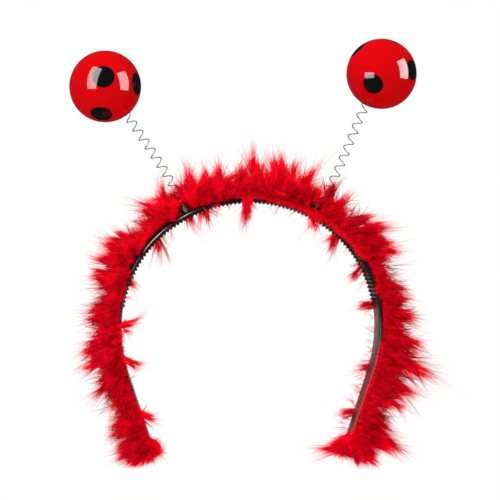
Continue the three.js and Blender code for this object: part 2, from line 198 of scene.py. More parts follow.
bpy.context.scene.view_settings.view_transform = "Standard"
print("softboxes:", [lamp[0] for lamp in SOFTBOXES])

# %% Floor
FLOOR_HEIGHT = -0.19
FLOOR_RADIUS = 0.44
FLOOR_SIDES = 96


def build_floor():
    mesh = bpy.data.meshes.new("floor")
    rim = [
        (FLOOR_RADIUS * math.cos(2 * math.pi * i / FLOOR_SIDES),
         FLOOR_RADIUS * math.sin(2 * math.pi * i / FLOOR_SIDES),
         FLOOR_HEIGHT)
        for i in range(FLOOR_SIDES)
    ]
    mesh.from_pydata(rim, [], [list(range(FLOOR_SIDES))])
    floor = bpy.data.objects.new("floor", mesh)
    material, tree, output = new_material("matt_white_paper")
    paper = add_node(
        tree, "ShaderNodeBsdfPrincipled",
        values={"Base Color": colour("f4f3f1"), "Roughness": 0.9},
    )
    tree.links.new(paper.outputs[0], output.inputs["Surface"])
    mesh.materials.append(material)
    floor.visible_glossy = False
    bpy.context.scene.collection.objects.link(floor)
    return floor


floor = build_floor()
print("floor at", FLOOR_HEIGHT, "m")

# %% [markdown]
# ## Making and placing a mesh
# Every shape below is worked out in millimetres with arrays of points, which is quick and exact.
# One function turns such arrays into a Blender mesh, makes it ride on the body, hides the
# imported node that it stands for, and gives it its finish.

# %% Mesh helpers


def new_piece(name, points, faces, material, node, sharp_degrees=40):
    """A smooth-shaded mesh from points in mm and lists of corners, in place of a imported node."""
    mesh = bpy.data.meshes.new(name)
    mesh.from_pydata((np.asarray(points) * MM).tolist(), [], [list(face) for face in faces])
    mesh.update()
    mesh.shade_smooth()
    mesh.set_sharp_from_angle(angle=math.radians(sharp_degrees))
    return place_piece(name, mesh, material, node)


def place_piece(name, mesh, material, node):
    piece = bpy.data.objects.new(name, mesh)
    mesh.materials.append(material)
    bpy.context.scene.collection.objects.link(piece)
    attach(piece, "root")
    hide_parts(node)
    return piece


def sweep_faces(rings, sides, first=0):
    """Quads between rings of points, and a flat cap at each end, facing out."""
    faces = []
    for i in range(rings - 1):
        for j in range(sides):
            k = (j + 1) % sides
            a, b = first + i * sides, first + (i + 1) * sides
            faces.append((a + j, a + k, b + k, b + j))
    faces.append(tuple(first + j for j in reversed(range(sides))))
    faces.append(tuple(first + (rings - 1) * sides + j for j in range(sides)))
    return faces


def triangle_count(piece):
    return sum(len(polygon.vertices) - 2 for polygon in piece.data.polygons)


def merge(parts):
    """One array of points and one list of faces from several pairs of them."""
    points, faces, start = [], [], 0
    for part_points, part_faces in parts:
        points.append(part_points)
        faces.extend(tuple(start + corner for corner in face) for face in part_faces)
        start += len(part_points)
    return np.concatenate(points), faces


print("a ring of 4 points swept twice has", len(sweep_faces(3, 4)), "faces")

# %% [markdown]
# ## The arch
# The band is a springy arch that grips the head. Each half is three arcs that run into each
# other and a straight leg. Anything on the band is placed by a distance along that arch, a
# distance across it towards the back, and a height out of it, so these are the lesson's own
# coordinates.

# %% Arch coordinates
ARCH_ARCS = ((74, math.radians(35)), (60.5, math.radians(55)), (74, math.radians(19.5)))
LEG_LENGTH = 39.5
HALF_ARCH = sum(radius * turn for radius, turn in ARCH_ARCS) + LEG_LENGTH
BAND_WIDTH = 10
TIP_WIDTH = 7.5
BAND_THICKNESS = 2


def arch(distance):
    """The inner face's points, and the directions out of the head and to the right, in the X-Z plane."""
    distance = np.asarray(distance, float)
    side = np.where(distance < 0, -1.0, 1.0)
    rest = np.abs(distance)
    turned, x, z = np.zeros_like(rest), np.zeros_like(rest), np.zeros_like(rest)
    for radius, turn in ARCH_ARCS:
        step = np.minimum(rest, radius * turn) / radius
        x += radius * (np.sin(turned + step) - np.sin(turned))
        z += radius * (np.cos(turned + step) - np.cos(turned))
        turned += step
        rest -= radius * step
    x += rest * np.cos(turned)
    z -= rest * np.sin(turned)
    zero = np.zeros_like(x)
    point = np.stack([side * x, zero, z], -1)
    out = np.stack([side * np.sin(turned), zero, np.cos(turned)], -1)
    right = np.stack([np.cos(turned), zero, -side * np.sin(turned)], -1)
    return point, out, right


def on_arch(distance, across, height):
    """Points at a distance along the arch, across it towards the back, and out from it."""
    point, out, _ = arch(distance)
    points = point + out * np.asarray(height, float)[..., None]
    points[..., 1] += across
    return points


def width_at(distance):
    straight = HALF_ARCH - LEG_LENGTH
    share = np.clip((np.abs(distance) - straight) / LEG_LENGTH, 0, 1)
    return BAND_WIDTH + (TIP_WIDTH - BAND_WIDTH) * share


print("half the arch measures", round(HALF_ARCH, 1), "mm")

# %% [markdown]
# ## Black polystyrene
# A cheap headband is injection moulded in black polystyrene, which is stiff, springy and glossy
# straight from the mould. It is a dielectric with an IOR of about 1.59. The eye sees deep black
# with crisp highlights along the edges, a little haze, and fine rubs from handling, so the
# roughness varies and a faint bump follows the flow of the plastic.

# %% Black polystyrene material
FLOW_MARK_MM = 3.0
RUB_MM = 0.8


def polystyrene_black():
    material, tree, output = new_material("moulded_black_polystyrene")
    place = add_node(tree, "ShaderNodeTexCoord").outputs["Object"]
    flow = add_node(
        tree, "ShaderNodeTexNoise", {"Vector": place},
        {"Scale": 1 / (FLOW_MARK_MM * MM), "Detail": 3.0},
    )
    rubs = add_node(
        tree, "ShaderNodeTexNoise", {"Vector": place},
        {"Scale": 1 / (RUB_MM * MM), "Detail": 5.0, "Roughness": 0.7},
    )
    gloss = add_node(
        tree, "ShaderNodeMapRange", {"Value": rubs.outputs["Fac"]},
        {"From Min": 0.35, "From Max": 0.75, "To Min": 0.16, "To Max": 0.34},
    )
    tint = add_node(
        tree, "ShaderNodeMix", {"Factor": flow.outputs["Fac"]},
        data_type="RGBA",
    )
    tint.inputs[6].default_value = colour("060506")
    tint.inputs[7].default_value = colour("110f10")
    bump = add_node(
        tree, "ShaderNodeBump", {"Height": flow.outputs["Fac"]},
        {"Strength": 0.12, "Distance": 0.05 * MM},
    )
    plastic = add_node(
        tree, "ShaderNodeBsdfPrincipled",
        {"Base Color": tint.outputs[2], "Roughness": gloss.outputs[0], "Normal": bump.outputs[0]},
        {"IOR": 1.59},
    )
    tree.links.new(plastic.outputs[0], output.inputs["Surface"])
    return material


black_plastic = polystyrene_black()
print("made", black_plastic.name)

# %% [markdown]
# ## The headband
# The band is one moulding: a flat strip 10 mm wide and 2 mm thick with soft edges, narrower at
# its tips, two rows of small teeth inside that grip the hair, and two pegs outside that carry
# the springs. It could be a curve with a bevel, but a bevel can't narrow and carry teeth, so
# the strip is swept ring by ring and the teeth are added along it.

# %% Band
BAND_STEP = 1.0
EDGE_ROUND = 0.9
CORNER_STEPS = 5


def band_section():
    """Across and height shares of a rounded outline: corner centres and unit offsets."""
    corners = []
    for side, top, start in ((1, 0, -90), (1, 1, 0), (-1, 1, 90), (-1, 0, 180)):
        for i in range(CORNER_STEPS):
            angle = math.radians(start + 90 * i / (CORNER_STEPS - 1))
            corners.append((side, top, math.cos(angle), math.sin(angle)))
    return np.array(corners)


def band_strip():
    stations = np.linspace(-HALF_ARCH, HALF_ARCH, int(2 * HALF_ARCH / BAND_STEP))
    side, top, cosine, sine = band_section().T
    half = width_at(stations)[:, None] / 2 - EDGE_ROUND
    across = side * half + EDGE_ROUND * cosine
    height = EDGE_ROUND + top * (BAND_THICKNESS - 2 * EDGE_ROUND) + EDGE_ROUND * sine
    height = np.broadcast_to(height, across.shape)
    distance = np.broadcast_to(stations[:, None], across.shape)
    points = on_arch(distance, across, height).reshape(-1, 3)
    faces = sweep_faces(len(stations), len(side))
    return points, [face[::-1] for face in faces]


strip = band_strip()
print("band strip has", len(strip[0]), "points")

# %% Teeth
TOOTH_PITCH = 2.15
TOOTH_HEIGHT = 1.2
TOOTH_BASE = 1.7
TOOTH_ROW_WIDTH = 2.6
TOOTH_ROW_OFFSET = 3.1
TOOTHED_LENGTH = 94
# how wide a tooth is, as a share of its base, at shares of its height
TOOTH_RINGS = ((-0.25, 1.0), (0.0, 1.0), (0.45, 0.62), (0.85, 0.26), (1.0, 0.12))


def tooth(distance, row):
    rings = []
    for height, width in TOOTH_RINGS:
        for along, across in ((1, 1), (-1, 1), (-1, -1), (1, -1)):
            rings.append((
                distance + along * width * TOOTH_BASE / 2,
                row * TOOTH_ROW_OFFSET + across * width * TOOTH_ROW_WIDTH / 2,
                -height * TOOTH_HEIGHT,
            ))
    distance, across, height = np.array(rings).T
    return on_arch(distance, across, height), sweep_faces(len(TOOTH_RINGS), 4)


per_half = int(TOOTHED_LENGTH / TOOTH_PITCH)
teeth = [tooth(i * TOOTH_PITCH, row) for i in range(-per_half, per_half + 1) for row in (-1, 1)]
print(len(teeth), "teeth")

# %% Pegs and the whole moulding
WIRE_DIAMETER = 0.5
COIL_DIAMETER = 4.6
GAP = 0.3
CLOSE_PITCH = 0.75
FOOT_TURNS = 4
OPEN_TURNS = 10
NECK_TURNS = 3
PEG_ANGLE = math.radians(26.2)
PEG_ROOT = 0.8
PEG_SHOULDER = 0.6
PEG_SIDES = 32
PEG_RADIUS = COIL_DIAMETER / 2 - WIRE_DIAMETER - GAP
PEG_HEIGHT = FOOT_TURNS * CLOSE_PITCH + WIRE_DIAMETER + GAP
PEG_DISTANCE = ARCH_ARCS[0][0] * PEG_ANGLE


def turned(profile, sides, axis, centre):
    """A closed shape turned round an axis, from radii and heights that start and end on it."""
    axis = np.asarray(axis, float)
    first = np.array([axis[2], 0, -axis[0]])
    second = np.cross(axis, first)
    angles = np.arange(sides) * 2 * math.pi / sides
    circle = np.cos(angles)[:, None] * first + np.sin(angles)[:, None] * second
    rings = [centre + radius * circle + height * axis for radius, height in profile[1:-1]]
    ends = [centre + profile[0][1] * axis, centre + profile[-1][1] * axis]
    points = np.concatenate([*rings, ends])
    faces = sweep_faces(len(rings), sides)[:-2]
    low, high = len(points) - 2, len(points) - 1
    last = (len(rings) - 1) * sides
    for j in range(sides):
        k = (j + 1) % sides
        faces.append((low, k, j))
        faces.append((high, last + j, last + k))
    return points, faces


def peg(side):
    foot, out, _ = arch(side * PEG_DISTANCE)
    bevel = PEG_SHOULDER * 0.3
    profile = (
        (0, -PEG_ROOT), (PEG_RADIUS, -PEG_ROOT), (PEG_RADIUS, PEG_HEIGHT - PEG_SHOULDER),
        (PEG_RADIUS - bevel, PEG_HEIGHT - bevel), (PEG_RADIUS - PEG_SHOULDER, PEG_HEIGHT), (0, PEG_HEIGHT),
    )
    return turned(profile, PEG_SIDES, out, foot + out * BAND_THICKNESS)


band_points, band_faces = merge([strip, *teeth, peg(-1), peg(1)])
headband = new_piece("headband_moulding", band_points, band_faces, black_plastic, "headband")
for name in ("band_only", "all_but_right_ball"):
    receivers[name].objects.link(headband)
print("headband:", triangle_count(headband), "triangles")

# %% [markdown]
# ## Spring wire
# The springs are hard drawn steel wire, wound on a mandrel and left bright. The wire is only
# half a millimetre thick, so the eye sees a grey line with a hard glint on each turn. Drawing
# leaves it fairly smooth, and the metal keeps the shader's default IOR.

# %% Spring steel material
WIRE_MARK_MM = 0.4


def spring_steel():
    material, tree, output = new_material("drawn_spring_steel")
    place = add_node(tree, "ShaderNodeTexCoord").outputs["Object"]
    marks = add_node(
        tree, "ShaderNodeTexNoise", {"Vector": place},
        {"Scale": 1 / (WIRE_MARK_MM * MM), "Detail": 4.0},
    )
    gloss = add_node(
        tree, "ShaderNodeMapRange", {"Value": marks.outputs["Fac"]},
        {"To Min": 0.16, "To Max": 0.34},
    )
    tint = add_node(tree, "ShaderNodeMix", {"Factor": marks.outputs["Fac"]}, data_type="RGBA")
    tint.inputs[6].default_value = colour("58585c")
    tint.inputs[7].default_value = colour("7c7c80")
    steel = add_node(
        tree, "ShaderNodeBsdfPrincipled",
        {"Base Color": tint.outputs[2], "Roughness": gloss.outputs[0]}, {"Metallic": 1.0},
    )
    tree.links.new(steel.outputs[0], output.inputs["Surface"])
    return material


steel_wire = spring_steel()
print("made", steel_wire.name)

# %% [markdown]
# ## The springs
# Each spring sits on its peg with a few close turns, opens into a soft bent coil, and ends in
# close turns inside the ball. A helix modifier would leave it straight, so a smooth middle line
# is made first, and the wire winds round that line by a formula.

# %% Middle line of a spring
BALL_RADIUS = 18
BOW_LOW_SHARE = 0.25
BOW_HIGH_SHARE = 0.7
# name, side, distance from peg to ball, lean from upright, low and high bow, starting turn
ANTENNAE = (
    ("left", -1, 76.2, 33.5, -0.028, -0.022, 0.1),
    ("right", 1, 80.1, 27.6, 0.026, 0.0, 0.6),
)
FOOT_HEIGHT = FOOT_TURNS * CLOSE_PITCH
NECK_HEIGHT = NECK_TURNS * CLOSE_PITCH


def smooth_curve(points, samples=400):
    """Points of a centripetal Catmull-Rom curve through the given ones."""
    points = np.asarray(points, float)
    points = np.vstack([2 * points[0] - points[1], points, 2 * points[-1] - points[-2]])
    run = []
    for p0, p1, p2, p3 in zip(points, points[1:], points[2:], points[3:]):
        d0, d1, d2 = (np.linalg.norm(b - a) ** 0.5 for a, b in ((p0, p1), (p1, p2), (p2, p3)))
        m1 = ((p1 - p0) / d0 - (p2 - p0) / (d0 + d1) + (p2 - p1) / d1) * d1
        m2 = ((p2 - p1) / d1 - (p3 - p1) / (d1 + d2) + (p3 - p2) / d2) * d1
        t = np.linspace(0, 1, samples, endpoint=False)[:, None]
        cubic = 2 * p1 - 2 * p2 + m1 + m2
        square = -3 * p1 + 3 * p2 - 2 * m1 - m2
        run.append(p1 + m1 * t + square * t ** 2 + cubic * t ** 3)
    return np.vstack([*run, points[-2]])


def spring_line(side, span, lean, bow_low, bow_high):
    inner, out, _ = arch(side * PEG_DISTANCE)
    foot = inner + out * BAND_THICKNESS
    angle = math.radians(lean)
    chord = span * np.array([side * math.sin(angle), 0, math.cos(angle)])
    sideways = np.array([side * chord[2], 0, -side * chord[0]])
    centre = foot + chord
    low = foot + chord * BOW_LOW_SHARE + sideways * bow_low
    high = foot + chord * BOW_HIGH_SHARE + sideways * bow_high
    inward = (centre - high) / np.linalg.norm(centre - high)
    neck = centre - inward * BALL_RADIUS
    seat = GAP + WIRE_DIAMETER / 2
    stops = [foot + out * height for height in (seat, seat + FOOT_HEIGHT, PEG_HEIGHT + WIRE_DIAMETER)]
    end = neck + inward * (NECK_HEIGHT + WIRE_DIAMETER)
    return smooth_curve([*stops, low, high, neck, end]), centre, inward


print("smooth curve through 3 points has", len(smooth_curve([(0, 0, 0), (1, 0, 0), (2, 1, 0)])), "points")

# %% Wire wound round the line
STEPS_PER_TURN = 48
WIRE_SIDES = 10


def wound_wire(line, phase):
    steps = (FOOT_TURNS + OPEN_TURNS + NECK_TURNS) * STEPS_PER_TURN
    travelled = np.concatenate([[0], np.cumsum(np.linalg.norm(np.diff(line, axis=0), axis=1))])
    length = travelled[-1]
    open_length = length - FOOT_HEIGHT - NECK_HEIGHT
    marks = np.array([0, FOOT_HEIGHT, FOOT_HEIGHT + open_length, length])
    turns = np.array([0, FOOT_TURNS, FOOT_TURNS + OPEN_TURNS, FOOT_TURNS + OPEN_TURNS + NECK_TURNS])
    turn = np.linspace(0, turns[-1], steps + 1)
    distance = np.interp(turn, turns, marks)
    middle = np.stack([np.interp(distance, travelled, line[:, i]) for i in range(3)], -1)
    tangent = np.gradient(line, travelled, axis=0)
    tangent = np.stack([np.interp(distance, travelled, tangent[:, i]) for i in range(3)], -1)
    tangent /= np.linalg.norm(tangent, axis=1)[:, None]
    sideways = np.stack([tangent[:, 2], np.zeros(len(tangent)), -tangent[:, 0]], -1)
    angle = 2 * math.pi * (turn + phase)
    spoke = np.cos(angle)[:, None] * sideways + np.sin(angle)[:, None] * np.array([0, 1, 0])
    wire = middle + spoke * (COIL_DIAMETER - WIRE_DIAMETER) / 2
    along = np.gradient(wire, axis=0)
    along /= np.linalg.norm(along, axis=1)[:, None]
    beside = np.cross(along, spoke)
    beside /= np.linalg.norm(beside, axis=1)[:, None]
    ring = np.arange(WIRE_SIDES) * 2 * math.pi / WIRE_SIDES
    radius = WIRE_DIAMETER / 2
    points = wire[:, None] + radius * (
        np.cos(ring)[:, None] * np.cross(beside, along)[:, None] + np.sin(ring)[:, None] * beside[:, None]
    )
    faces = sweep_faces(len(wire), WIRE_SIDES)
    return points.reshape(-1, 3), faces


lines = {}
for name, side, span, lean, bow_low, bow_high, phase in ANTENNAE:
    lines[name] = spring_line(side, span, lean, bow_low, bow_high)
    points, faces = wound_wire(lines[name][0], phase)
    spring = new_piece(f"{name}_spring_wire", points, faces, steel_wire, f"{name}_spring", 60)
    for receiver in ("wires_only", "all_but_right_ball"):
        receivers[receiver].objects.link(spring)
    print(spring.name, triangle_count(spring), "triangles")

# %% [markdown]
# ## Red plastic with printed spots
# The balls are blown or moulded in red polystyrene and polished by the mould, so they are very
# glossy. The black spots are pad printed in gloss ink, with crisp round edges. Each spot is
# all that lies within a distance of a place on the ball, so it needs no image: it is drawn
# from the distance to its middle, with a little noise for the edge of the ink.

# %% Ball material
SPOT_RADIUS = {"left": 5.7, "right": 5.35}
INK_EDGE_MM = 0.25
INK_WOBBLE_MM = 1.2
CLOUD_MM = 9
SKIN_WAVE_MM = 2.5
# places of the spots' middles in degrees: round from the front towards the right, and up.
# The first three of each ball show in the photograph, and the others are spread over the back.
SPOTS = {
    "left": ((-18, 15), (51.5, 4), (-26, -54), (-171, 19), (124, -16), (-159, -50), (110, 52)),
    "right": ((-34, -19), (44.5, 6), (-97, 45), (157, -13), (117, 56), (-128, -18), (96, -28), (-164, 32)),
}


def spotted_plastic(name, centre):
    material, tree, output = new_material(f"{name}_gloss_red_polystyrene")
    place = add_node(tree, "ShaderNodeTexCoord").outputs["Object"]
    wobble = add_node(
        tree, "ShaderNodeTexNoise", {"Vector": place},
        {"Scale": 1 / (INK_WOBBLE_MM * MM), "Detail": 1.0},
    )
    nearest = None
    for turn, tilt in SPOTS[name]:
        middle = Vector(centre) * MM + direction(math.radians(turn), math.radians(tilt)) * BALL_RADIUS * MM
        away = add_node(tree, "ShaderNodeVectorMath", {0: place}, {1: middle}, operation="DISTANCE")
        away = away.outputs["Value"]
        if nearest is not None:
            away = add_node(tree, "ShaderNodeMath", {0: nearest, 1: away}, operation="MINIMUM").outputs[0]
        nearest = away
    edge = add_node(
        tree, "ShaderNodeMath", {0: wobble.outputs["Fac"], 2: nearest},
        {1: INK_EDGE_MM * MM}, operation="MULTIPLY_ADD",
    )
    ink = add_node(
        tree, "ShaderNodeMapRange", {"Value": edge.outputs[0]},
        {"From Min": (SPOT_RADIUS[name] + INK_EDGE_MM) * MM, "From Max": SPOT_RADIUS[name] * MM},
    )
    cloud = add_node(
        tree, "ShaderNodeTexNoise", {"Vector": place}, {"Scale": 1 / (CLOUD_MM * MM), "Detail": 2.0},
    )
    red = add_node(tree, "ShaderNodeMix", {"Factor": cloud.outputs["Fac"]}, data_type="RGBA")
    red.inputs[6].default_value = colour("8e0003")
    red.inputs[7].default_value = colour("960004")
    paint = add_node(
        tree, "ShaderNodeMix", {"Factor": ink.outputs[0], 6: red.outputs[2]}, data_type="RGBA",
    )
    paint.inputs[7].default_value = colour("060707")
    skin = add_node(
        tree, "ShaderNodeTexNoise", {"Vector": place}, {"Scale": 1 / (SKIN_WAVE_MM * MM), "Detail": 2.0},
    )
    height = add_node(
        tree, "ShaderNodeMath", {0: ink.outputs[0], 2: skin.outputs["Fac"]}, {1: 0.6},
        operation="MULTIPLY_ADD",
    )
    bump = add_node(
        tree, "ShaderNodeBump", {"Height": height.outputs[0]}, {"Strength": 0.25, "Distance": 0.02 * MM},
    )
    gloss = add_node(
        tree, "ShaderNodeMapRange", {"Value": skin.outputs["Fac"]}, {"To Min": 0.03, "To Max": 0.08},
    )
    plastic = add_node(
        tree, "ShaderNodeBsdfPrincipled",
        {"Base Color": paint.outputs[2], "Roughness": gloss.outputs[0], "Normal": bump.outputs[0]},
        {"IOR": 1.59},
    )
    tree.links.new(plastic.outputs[0], output.inputs["Surface"])
    return material


print("spots:", {name: len(places) for name, places in SPOTS.items()})

# %% [markdown]
# ## The balls
# Each ball is a thin hollow shell with a small hole, and a collar inside the hole holds the end
# of the spring. A UV sphere would have no hole and no wall, so the whole wall is turned from one
# profile, as on a lathe, round the line of the spring.

# %% Hollow balls
BALL_WALL = 1
HOLE_RADIUS = COIL_DIAMETER / 2 + GAP
COLLAR_RADIUS = HOLE_RADIUS + BALL_WALL
COLLAR_TOP = NECK_HEIGHT + WIRE_DIAMETER + GAP - BALL_RADIUS
BALL_SIDES = 128
OUTER_STEPS = 80
INNER_STEPS = 40
LIP_ROUND = 0.25


def ball_arc(radius, hole, steps):
    """Radii and heights of a ball's section from its top down to a hole."""
    end = math.pi - math.asin(hole / radius)
    turns = [end * i / steps for i in range(steps + 1)]
    return [(radius * math.sin(turn), radius * math.cos(turn)) for turn in turns]


def hollow_ball(centre, inward):
    outer = ball_arc(BALL_RADIUS, HOLE_RADIUS + LIP_ROUND, OUTER_STEPS)
    lip_height = outer[-1][1]
    profile = [
        *ball_arc(BALL_RADIUS - BALL_WALL, COLLAR_RADIUS, INNER_STEPS),
        (COLLAR_RADIUS, COLLAR_TOP),
        (HOLE_RADIUS, COLLAR_TOP),
        (HOLE_RADIUS, lip_height + LIP_ROUND),
        (HOLE_RADIUS + LIP_ROUND * 0.3, lip_height + LIP_ROUND * 0.3),
        *reversed(outer),
    ]
    points, faces = turned(profile, BALL_SIDES, inward, centre)
    return points, faces


for name, *_ in ANTENNAE:
    _, centre, inward = lines[name]
    points, faces = hollow_ball(centre, inward)
    red_plastic = spotted_plastic(name, centre)
    ball = new_piece(f"{name}_ball_shell", points, faces, red_plastic, f"{name}_ball", 50)
    receivers["right_ball_only" if name == "right" else "all_but_right_ball"].objects.link(ball)
    print(ball.name, triangle_count(ball), "triangles, centre", np.round(centre, 1))

# %% [markdown]
# ## Marabou feather
# Marabou is the down of a turkey, dyed and wound on a cord. Each barb is a soft hair finer than
# a twentieth of a millimetre, too fine to show here, so it is drawn five times as thick. The eye
# sees bright red with dark hollows, paler wisps where light comes through, and thin ends that
# look dark. The colour is mixed from three numbers that each barb carries: how far along it a
# point is, a number of its own, and a number of its lock. Near the roots the red is painted
# deeper, as painted shade deep in the fluff, and the ends of some barbs are painted dark brown,
# as painted shade on thin barbs. Down lets light through, so part of its light is passed on to
# the far side by a Translucent shader.

# %% Feather material
LIGHT_THROUGH = 0.50
# barbs whose own number is above this share get dark brown ends, painted shade on thin barbs
BROWN_SHARE = 0.84


def marabou_red():
    material, tree, output = new_material("dyed_marabou_barbs")
    barb = add_node(tree, "ShaderNodeAttribute", attribute_name="barb")
    parts = add_node(tree, "ShaderNodeSeparateColor", {"Color": barb.outputs["Color"]})
    along, own, lock = parts.outputs
    body = add_node(tree, "ShaderNodeMix", {"Factor": lock}, data_type="RGBA")
    body.inputs[6].default_value = colour("f20521")
    body.inputs[7].default_value = colour("ff0a30")
    # painted shade: near their roots the barbs are painted a deeper red, as the shade deep in the fluff
    root = add_node(tree, "ShaderNodeMapRange", {"Value": along}, {"From Min": 0.0, "From Max": 0.40})
    deep = add_node(tree, "ShaderNodeMix", {"Factor": root.outputs[0], 7: body.outputs[2]}, data_type="RGBA")
    deep.inputs[6].default_value = colour("dc0014")
    # painted shade: the ends of some barbs turn dark brown, as the shade on thin barbs
    ends = add_node(tree, "ShaderNodeMapRange", {"Value": along}, {"From Min": 0.50, "From Max": 0.74})
    brown = add_node(tree, "ShaderNodeMath", {0: own}, {1: BROWN_SHARE}, operation="GREATER_THAN")
    share = add_node(
        tree, "ShaderNodeMath", {0: ends.outputs[0], 1: brown.outputs[0]}, operation="MULTIPLY",
    )
    final = add_node(
        tree, "ShaderNodeMix", {"Factor": share.outputs[0], 6: deep.outputs[2]}, data_type="RGBA",
    )
    final.inputs[7].default_value = colour("3c1216")
    fluff = add_node(
        tree, "ShaderNodeBsdfPrincipled", {"Base Color": final.outputs[2]},
        {"Roughness": 0.9, "Specular IOR Level": 0.04},
    )
    through = add_node(tree, "ShaderNodeBsdfTranslucent", {"Color": final.outputs[2]})
    both = add_node(tree, "ShaderNodeMixShader", values={"Fac": LIGHT_THROUGH})
    tree.links.new(fluff.outputs[0], both.inputs[1])
    tree.links.new(through.outputs[0], both.inputs[2])
    tree.links.new(both.outputs[0], output.inputs["Surface"])
    return material


red_feather = marabou_red()
print("made", red_feather.name)

# %% [markdown]
# ## How far the feathers reach
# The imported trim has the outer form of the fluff, with a point for each main plume. Rays that
# are sent at it from outside find how far it reaches at any place, and its sharp corners are the
# tips of the plumes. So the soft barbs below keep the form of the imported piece.

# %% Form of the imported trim
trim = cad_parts["feather_trim"]
trim_points = np.array([vertex.co for vertex in trim.data.vertices]) / MM
trim_faces = [tuple(polygon.vertices) for polygon in trim.data.polygons]
trim_tree = BVHTree.FromPolygons([Vector(point) for point in trim_points], trim_faces)
RAY_START = 70
SHARP_CORNER = math.radians(215)


def reach_along(start, towards):
    """Distance from a place inside the trim to its outermost surface in a direction, in mm."""
    start = Vector(start)
    towards = Vector(towards).normalized()
    hit = trim_tree.ray_cast(start + towards * RAY_START, -towards, RAY_START)
    return RAY_START - hit[3] if hit[0] is not None else 0.0


def plume_tips():
    """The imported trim's sharp corners, and the direction in which each one points."""
    welded = {}
    index = [welded.setdefault(tuple(np.round(point, 3)), len(welded)) for point in trim_points]
    corners = [[] for _ in welded]
    places = np.zeros((len(welded), 3))
    for old, new in enumerate(index):
        places[new] = trim_points[old]
    for face in trim_faces:
        ring = [index[corner] for corner in face]
        for i, corner in enumerate(ring):
            corners[corner].append((ring[i - 1], ring[(i + 1) % len(ring)]))
    tips = []
    for corner, pairs in enumerate(corners):
        total, axis = 0.0, np.zeros(3)
        for before, after in pairs:
            a, b = places[before] - places[corner], places[after] - places[corner]
            a, b = a / np.linalg.norm(a), b / np.linalg.norm(b)
            angle = math.acos(np.clip(a @ b, -1, 1))
            total += angle
            axis -= (a + b) * angle
        if 0 < total < SHARP_CORNER:
            tips.append((places[corner], axis / np.linalg.norm(axis)))
    return tips


tips = plume_tips()
print(len(tips), "plume tips")

# %% Arch coordinates of a point
ARCH_TABLE_STEP = 0.5
table_distance = np.arange(-HALF_ARCH, HALF_ARCH, ARCH_TABLE_STEP)
table_point, table_out, table_right = arch(table_distance)


def arch_place(points):
    """Distance along the arch and height above the inner face of points near it."""
    points = np.asarray(points, float)
    distances = np.empty(len(points))
    heights = np.empty(len(points))
    for first in range(0, len(points), 20000):
        part = points[first:first + 20000]
        gap = part[:, None, [0, 2]] - table_point[None, :, [0, 2]]
        near = np.argmin((gap ** 2).sum(-1), axis=1)
        offset = part - table_point[near]
        distances[first:first + 20000] = table_distance[near] + (offset * table_right[near]).sum(1)
        heights[first:first + 20000] = (offset * table_out[near]).sum(1)
    return distances, heights


tip_places = np.array([tip for tip, _ in tips])
tip_distance, tip_height = arch_place(tip_places)
print("tips reach", round(tip_height.min(), 1), "to", round(tip_height.max(), 1), "mm from the inner face")

# %% [markdown]
# ## The lining of down
# Under the long plumes lies short down, too dense to see through. It is a soft tube that rests
# on the band's outer face and widens away from it, about half as high as the plumes, and lumpy
# where locks meet. It closes round the band at the two tips, as the wound strip does.

# %% Lining
LINING_STEP = 1.5
LINING_SIDES = 36
LINING_SHARE = 0.50
LINING_HALF_WIDTH = 5.4
LINING_MIDDLE = 5.5
PEG_BYPASS = 5.6
PEG_BYPASS_LENGTH = 3.6
PEG_BYPASS_WIDTH = 0.50
PEG_SHELTER = 7.0
PEG_LOCKS = 44
BARE_STRETCH = (-0.46, -0.15)
BARE_SHIFT = 2.6
LINING_LUMP_MM = 5.0
LINING_LUMP = 0.9
LINING_SWELL = 0.1
TIP_OVERHANG = 4.0
TIP_WRAP = 4.5
WRAP_LENGTH = 12


def smooth_noise(points, size, seed):
    """Soft lumps between -1 and 1 from a few waves in random directions."""
    random = np.random.default_rng(seed)
    total = np.zeros(len(points))
    waves = 9
    for _ in range(waves):
        wave = random.normal(size=3)
        wave *= 2 * math.pi / size * random.uniform(0.6, 1.4) / np.linalg.norm(wave)
        total += np.sin(points @ wave + random.uniform(0, 2 * math.pi))
    return total / waves ** 0.5


probe_distance = np.arange(-HALF_ARCH, HALF_ARCH, 1.5)
probe_point, probe_out, _ = arch(probe_distance)
probe_reach = np.array([
    BAND_THICKNESS + reach_along(point + out * BAND_THICKNESS, out)
    for point, out in zip(probe_point, probe_out)
])
kernel = np.exp(-0.5 * (np.arange(-6, 7) / 2.5) ** 2)
probe_reach = np.convolve(np.pad(probe_reach, 6, mode="edge"), kernel / kernel.sum(), mode="valid")


def mean_reach(distances):
    """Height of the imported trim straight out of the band, smoothed along the arch."""
    return np.interp(distances, probe_distance, probe_reach)


def wrap_at(distance):
    share = np.clip((np.abs(distance) - (HALF_ARCH - WRAP_LENGTH)) / WRAP_LENGTH, 0, 1)
    return share * share * (3 - 2 * share)


def beside_peg(distance):
    """How near a place is to a peg along the arch, from 0 to 1."""
    return np.exp(-((np.abs(distance) - PEG_DISTANCE) / PEG_BYPASS_LENGTH) ** 4)


def in_bare_stretch(distance):
    """From 0 to 1 where the fluff stands back and leaves the band's outer face bare in front."""
    share = np.asarray(distance, float) / HALF_ARCH
    rise = np.clip((share - BARE_STRETCH[0]) / 0.04, 0, 1) * np.clip((BARE_STRETCH[1] - share) / 0.04, 0, 1)
    return rise


